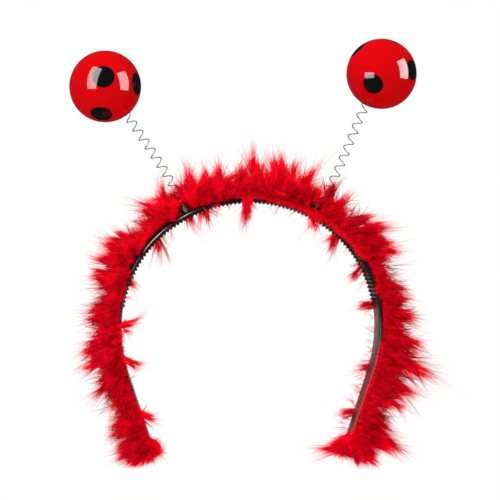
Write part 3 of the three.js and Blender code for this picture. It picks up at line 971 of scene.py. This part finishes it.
def lining():
    end = HALF_ARCH + TIP_OVERHANG
    stations = np.linspace(-end, end, int(2 * end / LINING_STEP))
    wrap = wrap_at(stations)[:, None]
    high = (mean_reach(np.clip(stations, -HALF_ARCH, HALF_ARCH)) * LINING_SHARE)[:, None]
    low = BAND_THICKNESS + 0.15 - wrap * (TIP_WRAP + BAND_THICKNESS)
    middle = LINING_MIDDLE - wrap * (LINING_MIDDLE - 1)
    closing = np.sqrt(np.clip((end - np.abs(stations)) / TIP_OVERHANG, 0.05, 1))[:, None]
    angle = np.arange(LINING_SIDES) * 2 * math.pi / LINING_SIDES
    rise = np.sin(angle)
    height = middle + closing * np.where(rise > 0, (high - middle) * rise, (middle - low) * rise)
    near = beside_peg(stations)[:, None]
    width = LINING_HALF_WIDTH * (1 - near * (1 - PEG_BYPASS_WIDTH))
    shift = np.maximum(near * PEG_BYPASS, BARE_SHIFT * in_bare_stretch(stations)[:, None])
    across = shift + width * closing * np.cos(angle) * np.ones_like(height)
    distance = np.broadcast_to(stations[:, None], height.shape)
    points = on_arch(distance, across, height).reshape(-1, 3)
    lump = smooth_noise(points, LINING_LUMP_MM, 11) * LINING_LUMP
    swell = smooth_noise(points, LINING_LUMP_MM, 12) * LINING_SWELL
    on_top = np.clip(rise + 0.3, 0, 1)
    height = height + lump.reshape(height.shape) * on_top
    across = across * (1 + swell.reshape(height.shape) * on_top)
    points = on_arch(distance, across, height).reshape(-1, 3)
    faces = [face[::-1] for face in sweep_faces(len(stations), LINING_SIDES)]
    return points, faces


lining_points, lining_faces = lining()
down = new_piece("down_lining", lining_points, lining_faces, red_feather, "feather_trim", 180)
print("lining:", triangle_count(down), "triangles")

# %% [markdown]
# ## Locks and barbs
# A plume is a lock of hundreds of barbs that leave the cord together, swell out, and close to a
# point. Blender's hair would make them quickly, but hair has no mesh of its own, so the barbs
# are thin tapered ribbons that are worked out all at once with arrays. First come the locks:
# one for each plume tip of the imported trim, and then many smaller ones between them.

# %% Main locks from the plume tips
rng = np.random.default_rng(20)
ROOT_HEIGHT = BAND_THICKNESS + 0.4
LEAN_BY_SHARE = ((0, 0.2, 0.35, 1), (-8, -4, 14, 12))
# the lowest height of fluff before the band's front edge, at shares of half the arch:
# high where the photograph shows the band's bare edge, low where fluff hangs over it
FRONT_COVER = (
    (-1.0, -3.0), (-0.95, 0.8), (-0.91, -0.3), (-0.87, -0.3), (-0.84, 1.0), (-0.74, 1.0), (-0.71, -0.5),
    (-0.65, -0.5), (-0.62, 1.1), (-0.50, 1.6), (-0.44, 3.0), (-0.16, 2.6), (-0.10, 2.0), (-0.02, 1.6),
    (0.02, 0.6), (0.05, -0.5), (0.13, -0.6), (0.15, -1.5), (0.21, -1.5), (0.23, -1.1), (0.40, -1.3),
    (0.42, 1.2), (0.49, 1.2), (0.50, -1.2), (0.52, -1.2), (0.53, 1.2), (0.56, 1.2), (0.60, 0.6), (0.66, 0.2),
    (0.70, -1.2), (0.80, -1.6), (0.93, -1.2), (1.0, -3.0),
)


def cover_at(distance):
    shares, heights = np.array(FRONT_COVER).T
    return np.interp(distance / HALF_ARCH, shares, heights)


class Locks:
    """A growing table of locks: root, bend and tip in mm, radius, number of barbs, and brushiness."""

    def __init__(self):
        self.root, self.bend, self.tip = [], [], []
        self.radius, self.count, self.brush, self.stray, self.loose = [], [], [], [], []

    def add(self, root, bend, tip, radius, count, brush, stray=False, loose=False):
        self.root.append(root)
        self.bend.append(bend)
        self.tip.append(tip)
        self.radius.append(radius)
        self.count.append(int(count))
        self.brush.append(brush)
        self.stray.append(stray)
        self.loose.append(loose)

    def barbs(self):
        return sum(self.count)


SPRIGS = 15
SPRIG_SCATTER = 0.30
BARE_ROOT = 1.3


def add_plume(locks, root, bend, tip, sprigs, radius, dense, foot, stray=False):
    """A plume of a few thin sprigs: the first ends at its tip, and the others fall a little short."""
    length = np.linalg.norm(tip - root)
    swing = rng.normal(0, 0.09 * length, 3)
    for i in range(sprigs):
        share = 1.0 if i == 0 else rng.uniform(0.55, 1.02)
        share *= 0.92 if stray else 1.0
        scatter = length * SPRIG_SCATTER * (0.25 + 1.3 * abs(1 - share)) * (i > 0)
        end = root + (tip - root) * share + rng.normal(0, 1, 3) * scatter
        start = root + rng.normal(0, 0.63, 3)
        if stray:
            spread = arch(foot)[2] * rng.normal(0, length * (0.16 if tip[1] < 0 else 0.11))
            start, end = start + spread, end + 0.4 * spread
        middle = bend * share + root * (1 - share) + swing * share + rng.normal(0, 0.09 * length, 3)
        count = dense * (0.55 + 0.06 * length * share)
        locks.add(start, middle, end, radius * rng.uniform(0.75, 1.25), count, rng.uniform(0.0, 0.5), stray)


def foot_of(tip, axis, height):
    """The distance along the arch where a line back from a tip first comes to a height."""
    steps = np.linspace(0, 40, 81)
    distance, heights = arch_place(tip - axis * steps[:, None])
    crossed = np.sign(heights - height) != np.sign(heights[0] - height)
    return distance[np.argmax(crossed)] if crossed.any() else distance[0]


def main_locks(locks):
    """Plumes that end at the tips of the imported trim."""
    for (tip, axis), distance, height in zip(tips, tip_distance, tip_height):
        foot = np.clip(foot_of(tip, axis, BAND_THICKNESS + 1.5), -HALF_ARCH, HALF_ARCH)
        if height < 1 and abs(distance) < HALF_ARCH - 4:
            edge = -1.0 if tip[1] < 0 else 1.0
            root = on_arch(foot, edge * (BAND_WIDTH / 2 + 0.8), np.array(BAND_THICKNESS + 2.5))
            length = np.linalg.norm(tip - root)
            bend = root + (tip - root) * 0.45 + np.array([0, edge * 0.12 * length, 0])
            dense = 17 if edge > 0 else 24
            add_plume(locks, root, bend, tip, 7 + int(length / 2), 0.9, dense, foot, stray=True)
            continue
        across = np.clip(tip[1] * 0.18, -3, 3)
        across = max(across, BARE_ROOT) if in_bare_stretch(foot) > 0.5 else across
        root = on_arch(foot, across, np.array(ROOT_HEIGHT))
        length = np.linalg.norm(tip - root)
        bend = (tip - axis * length * 0.5) * 0.6 + (root + arch(foot)[1] * length * 0.5) * 0.4
        add_plume(locks, root, bend, tip, SPRIGS, 0.85, 23, foot)


locks = Locks()
main_locks(locks)
print(len(locks.root), "main sprigs,", locks.barbs(), "barbs")

# %% [markdown]
# ## Filling the strip
# Between the long plumes a strip is full of shorter down. Small locks are set all along the
# band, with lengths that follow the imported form, so the notches between the plumes stay. Short
# ones hang over the band's edges where the fluff hides them, others stand round the wound tips,
# and low ones close the strip behind the pegs.

# %% Filler locks between the main ones
FILLER_PITCH = 0.15
FRONT_FAN = 84
BACK_FAN = 92
BARE_FAN = 48
TIP_FILLERS = 170
CROWN_FULLNESS = 0.14
LEFT_FLARE = 7.0


def filler_locks(locks):
    """Small locks all over the trim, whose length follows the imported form."""
    distances = np.arange(-HALF_ARCH + 2, HALF_ARCH - 2, FILLER_PITCH)
    usual = mean_reach(distances)
    for distance, height in zip(distances, usual):
        distance += rng.uniform(-0.4, 0.4)
        side = -1.0 if distance < 0 else 1.0
        point, out, right = arch(distance)
        bare = in_bare_stretch(distance)
        fan = math.radians(rng.uniform(-(FRONT_FAN + bare * (BARE_FAN - FRONT_FAN)), BACK_FAN))
        lean = math.radians(np.interp(abs(distance) / HALF_ARCH, *LEAN_BY_SHARE) + rng.normal(0, 12))
        towards = (out * math.cos(lean) + side * right * math.sin(lean)) * math.cos(fan)
        towards[1] += math.sin(fan)
        towards /= np.linalg.norm(towards)
        across = np.clip(3.6 * math.sin(fan) + bare * 1.6, -3.8 + bare * 5.0, 3.8)
        root = on_arch(distance, across, np.array(ROOT_HEIGHT))
        reach = reach_along(root, towards)
        if abs(abs(distance) - PEG_DISTANCE) < PEG_SHELTER and fan > 0.1:
            reach = max(reach, 0.85 * height)
        if reach < 3:
            continue
        full = CROWN_FULLNESS * math.exp(-((distance - 20) / 20) ** 2)
        length = max(reach * rng.triangular(0.45, 0.70 + full, 1.04 + full), 5.0)
        tip = root + towards * length + rng.normal(0, 0.06 * length, 3)
        tip[2] -= 0.06 * length
        bend = root + towards * length * 0.5 + rng.normal(0, 0.11 * length, 3)
        locks.add(root, bend, tip, rng.uniform(0.8, 1.5), 30 + 2.5 * length, rng.uniform(0.0, 0.7))


EDGE_PITCH = 0.4
BACK_COVER = 1.0
SPARSE_EDGE = 0.35
SPARSE_FROM = 0.6


def edge_locks(locks):
    """Short locks that hang over the band's edges, as low as the fluff does at each place."""
    for distance in np.arange(-HALF_ARCH + 6, HALF_ARCH - 6, EDGE_PITCH):
        for edge, cover in ((-1.0, float(cover_at(distance))), (1.0, BACK_COVER)):
            if cover > 1.8:
                continue
            half = width_at(distance) / 2
            close = np.clip((1.0 - cover) / 1.5, 0, 1)
            cover += 0.5 * close * math.sin(distance / 1.9) * math.sin(distance / 3.1 + 1)
            end = distance + rng.normal(0, 1.5 + close)
            root = on_arch(distance, edge * (half - 1.2), np.array(ROOT_HEIGHT))
            low = cover + 0.2 - 0.7 * close + (1.8 + 0.5 * close) * rng.random() ** 1.5
            tip = on_arch(end, edge * (half + 0.3 + rng.uniform(0.4, 2.3) * (1 - 0.3 * close)), np.array(low))
            middle = np.array(BAND_THICKNESS + 2.8 - 1.3 * close)
            bend = on_arch((distance + end) / 2, edge * (half + 1.5 - 0.5 * close), middle)
            radius = rng.uniform(0.8, 1.2) * (1 - 0.35 * close)
            dense = 0.5 + 0.5 * math.sin(distance / 2.3)
            count = 24 + 30 * close * dense
            count *= SPARSE_EDGE if edge < 0 and distance > SPARSE_FROM * HALF_ARCH else 1
            locks.add(root, bend, tip, radius, count, rng.uniform(0.2, 0.8))


def tip_locks(locks):
    """Locks that stand out all round the two wrapped tips of the band."""
    for side in (-1, 1):
        point, out, right = arch(side * HALF_ARCH)
        tangent = side * right
        for _ in range(TIP_FILLERS):
            turn = math.radians(rng.uniform(-25, 172))
            fan = math.asin(rng.uniform(-0.97, 0.97))
            towards = (out * math.cos(turn) + tangent * math.sin(turn)) * math.cos(fan)
            towards[1] += math.sin(fan)
            back_off = rng.uniform(0, 8) if turn > math.pi / 2 else rng.uniform(-1, 5)
            root = point + out * (1 + 1.2 * math.cos(turn)) - tangent * (back_off - 1.5 * math.sin(turn))
            root[1] += 3.2 * math.sin(fan)
            reach = reach_along(root, towards)
            if reach < 2:
                continue
            reach += LEFT_FLARE * (side < 0 and turn < 0.6)
            length = max(reach * rng.uniform(0.64, 0.96), 4)
            tip = root + towards * length + rng.normal(0, 0.4, 3)
            bend = root + towards * length * 0.5 + rng.normal(0, 0.06 * length, 3)
            locks.add(root, bend, tip, rng.uniform(1.2, 2.0), 36 + 2 * length, rng.uniform(0.3, 1.0))


def peg_locks(locks):
    """Low locks behind each peg, which close the strip round the foot of the spring."""

    def add_low(root, tip, scatter, radius, count, brush):
        bend = (root + tip) / 2 + rng.normal(0, scatter, 3)
        locks.add(root, bend, tip, rng.uniform(*radius), count, rng.uniform(*brush))

    for side in (-1, 1):
        for _ in range(PEG_LOCKS):
            angle, radius = math.radians(rng.uniform(0, 180)), rng.uniform(3.4, 4.4)
            along, across = side * PEG_DISTANCE, math.sin(angle)
            root = on_arch(along + radius * math.cos(angle), radius * across, np.array(ROOT_HEIGHT))
            radius += rng.uniform(2, 6)
            high = np.array(ROOT_HEIGHT + rng.uniform(0.8, 6))
            tip = on_arch(along + radius * math.cos(angle), radius * across, high)
            add_low(root, tip, 0.5, (0.8, 1.4), 55, (0.2, 0.8))
    for _ in range(PEG_LOCKS):
        at, depth = -PEG_DISTANCE + rng.uniform(-4.5, 4.5), rng.uniform(3.6, 7)
        root = on_arch(at, depth, np.array(ROOT_HEIGHT + 1))
        tip = on_arch(at + rng.normal(0, 2), depth + rng.normal(0, 2), np.array(rng.uniform(10, 17)))
        add_low(root, tip, 0.8, (0.8, 1.3), 60, (0.2, 0.7))


before = locks.barbs()
filler_locks(locks)
peg_locks(locks)
edge_locks(locks)
tip_locks(locks)
print(len(locks.root), "locks in all,", locks.barbs() - before, "barbs in the fillers")

# %% [markdown]
# ## Loose down
# Down never lies quite in order. A few fine wisps hang past the band's edges into the head
# opening, and single barbs stand out past the plumes, many of them with ends painted dark brown
# as painted shade.

# %% Stray wisps
WISPS = 100
FRONT_WISP_SHARE = 0.35
FLYING_BARBS = 2800


def wisp_locks(locks):
    """A few fine barbs here and there that hang past the band's edges into the head opening."""
    for _ in range(WISPS):
        distance = (rng.uniform(-0.9, 0.9) if rng.random() < 0.8 else rng.uniform(0.66, 0.95)) * HALF_ARCH
        edge = -1.0 if distance < 0 and rng.random() < FRONT_WISP_SHARE else 1.0
        point, out, right = arch(distance)
        root = on_arch(distance, edge * (width_at(distance) / 2 + 0.7), np.array(BAND_THICKNESS + 1.0))
        length = rng.uniform(5, 10.5)
        towards = -out + right * rng.normal(0, 0.7)
        towards[1] += edge * rng.uniform(0.1, 0.6)
        tip = root + towards / np.linalg.norm(towards) * length
        bend = root + (tip - root) * 0.5 + np.array([0, edge * 0.1 * length, 0])
        locks.add(root, bend, tip, 0.8, rng.integers(3, 10), 0.9, stray=True)


def flying_barbs(locks):
    """Single long barbs that stand out past the plumes."""
    for _ in range(FLYING_BARBS):
        distance = rng.uniform(-0.95, 0.95) * HALF_ARCH
        side = -1.0 if distance < 0 else 1.0
        point, out, right = arch(distance)
        fan = math.radians(rng.uniform(-50, 70))
        lean = math.radians(np.interp(abs(distance) / HALF_ARCH, *LEAN_BY_SHARE) + rng.normal(0, 22))
        towards = (out * math.cos(lean) + side * right * math.sin(lean)) * math.cos(fan)
        towards[1] += math.sin(fan)
        root = on_arch(distance, 2.5 * math.sin(fan), np.array(ROOT_HEIGHT))
        length = max(reach_along(root, towards), 0.85 * float(mean_reach(distance))) * rng.uniform(0.95, 1.3)
        tip = root + towards * length + rng.normal(0, 0.08 * length, 3)
        tip[2] -= 0.08 * length
        bend = root + towards * length * 0.55 + rng.normal(0, 0.13 * length, 3)
        locks.add(root, bend, tip, 0.7, rng.integers(1, 5), 1.0, loose=True)


wisp_locks(locks)
flying_barbs(locks)
print(len(locks.root), "locks with the wisps")

# %% [markdown]
# ## Ribbons
# Each barb follows its lock from a random start to a random end. It keeps a fixed share of the
# lock's radius, so all the barbs of a lock close to a point together, and a few fly away. Three
# rows of points make a ribbon of three triangles, wide at the root and pointed at the end, and
# the bend and the frizz of the many hide how few they are. A ribbon is flat, but down scatters
# light softly, so its shading normals don't follow the ribbon: they point out of the strip, and
# a little out of the lock. Barbs that would run through the band or round the feet of the
# springs on the pegs are left out.

# %% Barb paths
ROWS = np.array([0.0, 0.52, 1.0])
BARB_WIDTHS = (0.24, 0.15)
FRIZZ = 0.35
LOCK_SHADE = 0.35
FLYAWAY = 0.40
# where loose barbs end, in lengths of their lock, and the spread of the flying ones' own numbers
LOOSE_ENDS = (0.82, 1.31)
FLYING_OWN = 0.36


def out_of_strip(path):
    """The direction from the middle of the band's outer face to each point."""
    distance, height = arch_place(path[:, 0])
    away = path - on_arch(distance, 0, np.full(len(path), BAND_THICKNESS))[:, None]
    return away / (np.linalg.norm(away, axis=2)[..., None] + 1e-9)


def barb_paths(locks):
    """Rows of points for every barb, with its lock's number, its shares along it, and if it flies away."""
    root, bend, tip = np.array(locks.root), np.array(locks.bend), np.array(locks.tip)
    lock = np.repeat(np.arange(len(root)), locks.count)
    radius, brush = np.array(locks.radius)[lock], np.array(locks.brush)[lock]
    total = len(lock)
    spoke = np.sqrt(rng.random(total))
    angle = rng.uniform(0, 2 * math.pi, total)
    loose = (rng.random(total) < FLYAWAY) | np.array(locks.loose)[lock]
    start = 0.08 + rng.random(total) * 0.58
    end = 1.04 - rng.random(total) ** 1.15 * (0.37 + 0.40 * spoke * brush) * (1 - start)
    end = np.where(loose, rng.uniform(*LOOSE_ENDS, total), end)
    t = start[:, None] + (end - start)[:, None] * ROWS
    r, b, p = root[lock][:, None], bend[lock][:, None], tip[lock][:, None]
    share = t[..., None]
    inside = np.minimum(share, 1)
    path = (1 - inside) ** 2 * r + 2 * inside * (1 - inside) * b + inside ** 2 * p
    path += (share - inside) * 2 * (p - b)
    axis = (tip - root)[lock]
    axis /= np.linalg.norm(axis, axis=1)[:, None]
    first = np.cross(axis, np.array([0.3, 1.0, 0.2]))
    first /= np.linalg.norm(first, axis=1)[:, None]
    second = np.cross(axis, first)
    pointed = (0.6 + 0.9 * t) * np.clip(1 - t ** 2.2, 0.03, 1)
    brushy = 0.45 + 0.75 * t
    swell = pointed + (brushy - pointed) * brush[:, None]
    swell = np.where(loose[:, None], 0.6 + 2.1 * t ** 2, swell)
    offset = spoke[:, None] * radius[:, None] * swell
    path += (offset * np.cos(angle)[:, None])[..., None] * first[:, None]
    path += (offset * np.sin(angle)[:, None])[..., None] * second[:, None]
    path += rng.normal(0, FRIZZ, (total, 3, 3)) * np.array([0.1, 0.8, 1.0])[None, :, None]
    around = np.cos(angle)[:, None] * first + np.sin(angle)[:, None] * second
    facing = around[:, None] * LOCK_SHADE + out_of_strip(path)
    facing /= np.linalg.norm(facing, axis=2)[..., None]
    # loose barbs past their lock, and flying barbs most of all, more often get the dark brown ends of painted
    # shade
    own = rng.random(total) * np.where(loose & (end > 1.0), 0.95, 0.85)
    own = np.where(np.array(locks.loose)[lock], 1 - FLYING_OWN * rng.random(total), own)
    return path, lock, np.stack([np.clip(t, 0, 1), np.broadcast_to(own[:, None], t.shape)], -1), loose, facing


# %% Barbs that would be in the way
BAND_GAP = 0.2
WRAPPED_LENGTH = 9
BACK_EDGE_COVER = 1.2
# the fluff parts round each peg, from just above the band to a height that differs left and
# right, and the parting slants as it does in the photograph
PEG_CLEARING = COIL_DIAMETER / 2 + 0.9
PARTING_SLANT = 0.29
PARTING_FROM = 1.9
PARTING_TO = (7.2, 6.5)
# well in front of a peg, low fluff may still hang over the band
OVERHANG_DEPTH = -2.9
OVERHANG_HEIGHT = 3.7
# how far the dressed part may reach to the front and back, down at the left and right tip, and
# to the right
DEPTH_LIMITS = (-35.0, 31.0)
LOWEST_MM = (-134.5, -139.5)
WIDEST_MM = 112.5


def keep_clear(path, stray):
    """Which barbs to keep: none through the band, over its bare edge, by a peg or past the limits."""
    rows = path.reshape(-1, 3)
    distance, height = arch_place(rows)
    across = rows[:, 1]
    half = width_at(distance) / 2
    along = np.abs(distance) < HALF_ARCH + 0.5
    over_band = np.abs(across) < half + BAND_GAP
    in_band = (height > -TOOTH_HEIGHT - BAND_GAP) & (height < BAND_THICKNESS + BAND_GAP / 2)
    through = along & over_band & in_band
    wrapped = np.abs(distance) > HALF_ARCH - WRAPPED_LENGTH
    cover = np.where(across < 0, cover_at(distance) - 0.5, BACK_EDGE_COVER)
    below = ~wrapped & ~stray.repeat(len(ROWS)) & (height < cover)
    below &= np.abs(across) > half - 1
    under = ~wrapped & over_band & (height < BAND_THICKNESS)
    deep = (across < DEPTH_LIMITS[0]) | (across > DEPTH_LIMITS[1])
    outside = (rows[:, 2] < np.where(rows[:, 0] < 0, *LOWEST_MM)) | (rows[:, 0] > WIDEST_MM)
    bad = (through | below | under | deep | outside).reshape(-1, len(ROWS)).any(axis=1)
    by_barb = [values.reshape(-1, len(ROWS)) for values in (distance, height, across)]
    for share in (0, 0.25, 0.5, 0.75, 1):
        for row in (0, 1):
            at, out, depth = (values[:, row] * (1 - share) + values[:, row + 1] * share for values in by_barb)
            peg = np.sign(at) * PEG_DISTANCE + PARTING_SLANT * np.minimum(depth, 0)
            off_peg = np.hypot(at - peg, np.maximum(depth, 0))
            overhang = (depth < OVERHANG_DEPTH) & (out < OVERHANG_HEIGHT)
            parted = (out > PARTING_FROM) & (out < np.where(at < 0, *PARTING_TO))
            bad |= (off_peg < PEG_CLEARING) & parted & ~overhang
    return ~bad


# %% Ribbons along the barbs
LOOSE_WIDTH = 0.78
BROWN_WIDTH = 1.35


def ribbons(path, lock, marks, loose, facing):
    """Points, triangles, colours and shading normals of tapered ribbons along the barbs' paths."""
    total = len(path)
    along = np.gradient(path, axis=1)
    random = rng.normal(size=(total, 1, 3))
    beside = np.cross(along, random)
    beside /= np.linalg.norm(beside, axis=2)[..., None] + 1e-9
    turned_in = (np.cross(along, beside) * facing).sum(2).mean(1) < 0
    beside[turned_in] *= -1
    brown = marks[:, 0, 1] > BROWN_SHARE
    thin = np.where(loose, np.where(brown, BROWN_WIDTH, LOOSE_WIDTH), 1.0)[:, None, None]
    half = np.array(BARB_WIDTHS)[None, :, None] / 2 * thin
    left = path[:, :2] + beside[:, :2] * half
    right = path[:, :2] - beside[:, :2] * half
    points = np.concatenate([np.stack([left, right], 2).reshape(total, 4, 3), path[:, 2:]], axis=1)
    corners = np.array([(0, 1, 3), (0, 3, 2), (2, 3, 4)])
    faces = (np.arange(total)[:, None, None] * 5 + corners[None]).reshape(-1, 3)
    rows = np.array([0, 0, 1, 1, 2])
    attribute = np.ones((total, 5, 4), np.float32)
    attribute[..., :2] = marks[:, rows]
    lock_number = np.random.default_rng(5).random(lock.max() + 1)
    attribute[..., 2] = lock_number[lock][:, None]
    return points.reshape(-1, 3), faces, attribute.reshape(-1, 4), facing[:, rows].reshape(-1, 3)


barbs = barb_paths(locks)
keep = keep_clear(barbs[0], np.array(locks.stray)[barbs[1]])
barbs = [values[keep] for values in barbs]
print(keep.sum(), "barbs kept of", len(keep))

# %% [markdown]
# ## One piece for each stretch of the strip
# So many triangles in one mesh would be slow to handle, so the trim is cut into stretches along
# the band, each with its own mesh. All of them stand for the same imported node.

# %% Trim pieces
STRETCHES = (
    ("left_tip_plumes", -9.0, -0.72),
    ("left_side_plumes", -0.72, -0.36),
    ("left_crown_plumes", -0.36, 0.0),
    ("right_crown_plumes", 0.0, 0.34),
    ("right_side_plumes", 0.34, 0.68),
    ("right_tip_plumes", 0.68, 9.0),
)


def ribbon_mesh(name, points, faces, attribute, normals):
    mesh = bpy.data.meshes.new(name)
    mesh.vertices.add(len(points))
    mesh.vertices.foreach_set("co", (points * MM).astype(np.float32).ravel())
    mesh.loops.add(faces.size)
    mesh.loops.foreach_set("vertex_index", faces.astype(np.int32).ravel())
    mesh.polygons.add(len(faces))
    mesh.polygons.foreach_set("loop_start", np.arange(0, faces.size, 3, dtype=np.int32))
    mesh.update(calc_edges=True)
    layer = mesh.color_attributes.new("barb", "FLOAT_COLOR", "POINT")
    layer.data.foreach_set("color", attribute.ravel())
    mesh.shade_smooth()
    mesh.normals_split_custom_set_from_vertices(normals)
    return mesh


root_share = arch_place(barbs[0][:, 0])[0] / HALF_ARCH
for name, low, high in STRETCHES:
    here = (root_share >= low) & (root_share < high)
    points, faces, attribute, normals = ribbons(*(values[here] for values in barbs))
    mesh = ribbon_mesh(name, points, faces, attribute, normals)
    place_piece(name, mesh, red_feather, "feather_trim")
    print(name, len(faces), "triangles")
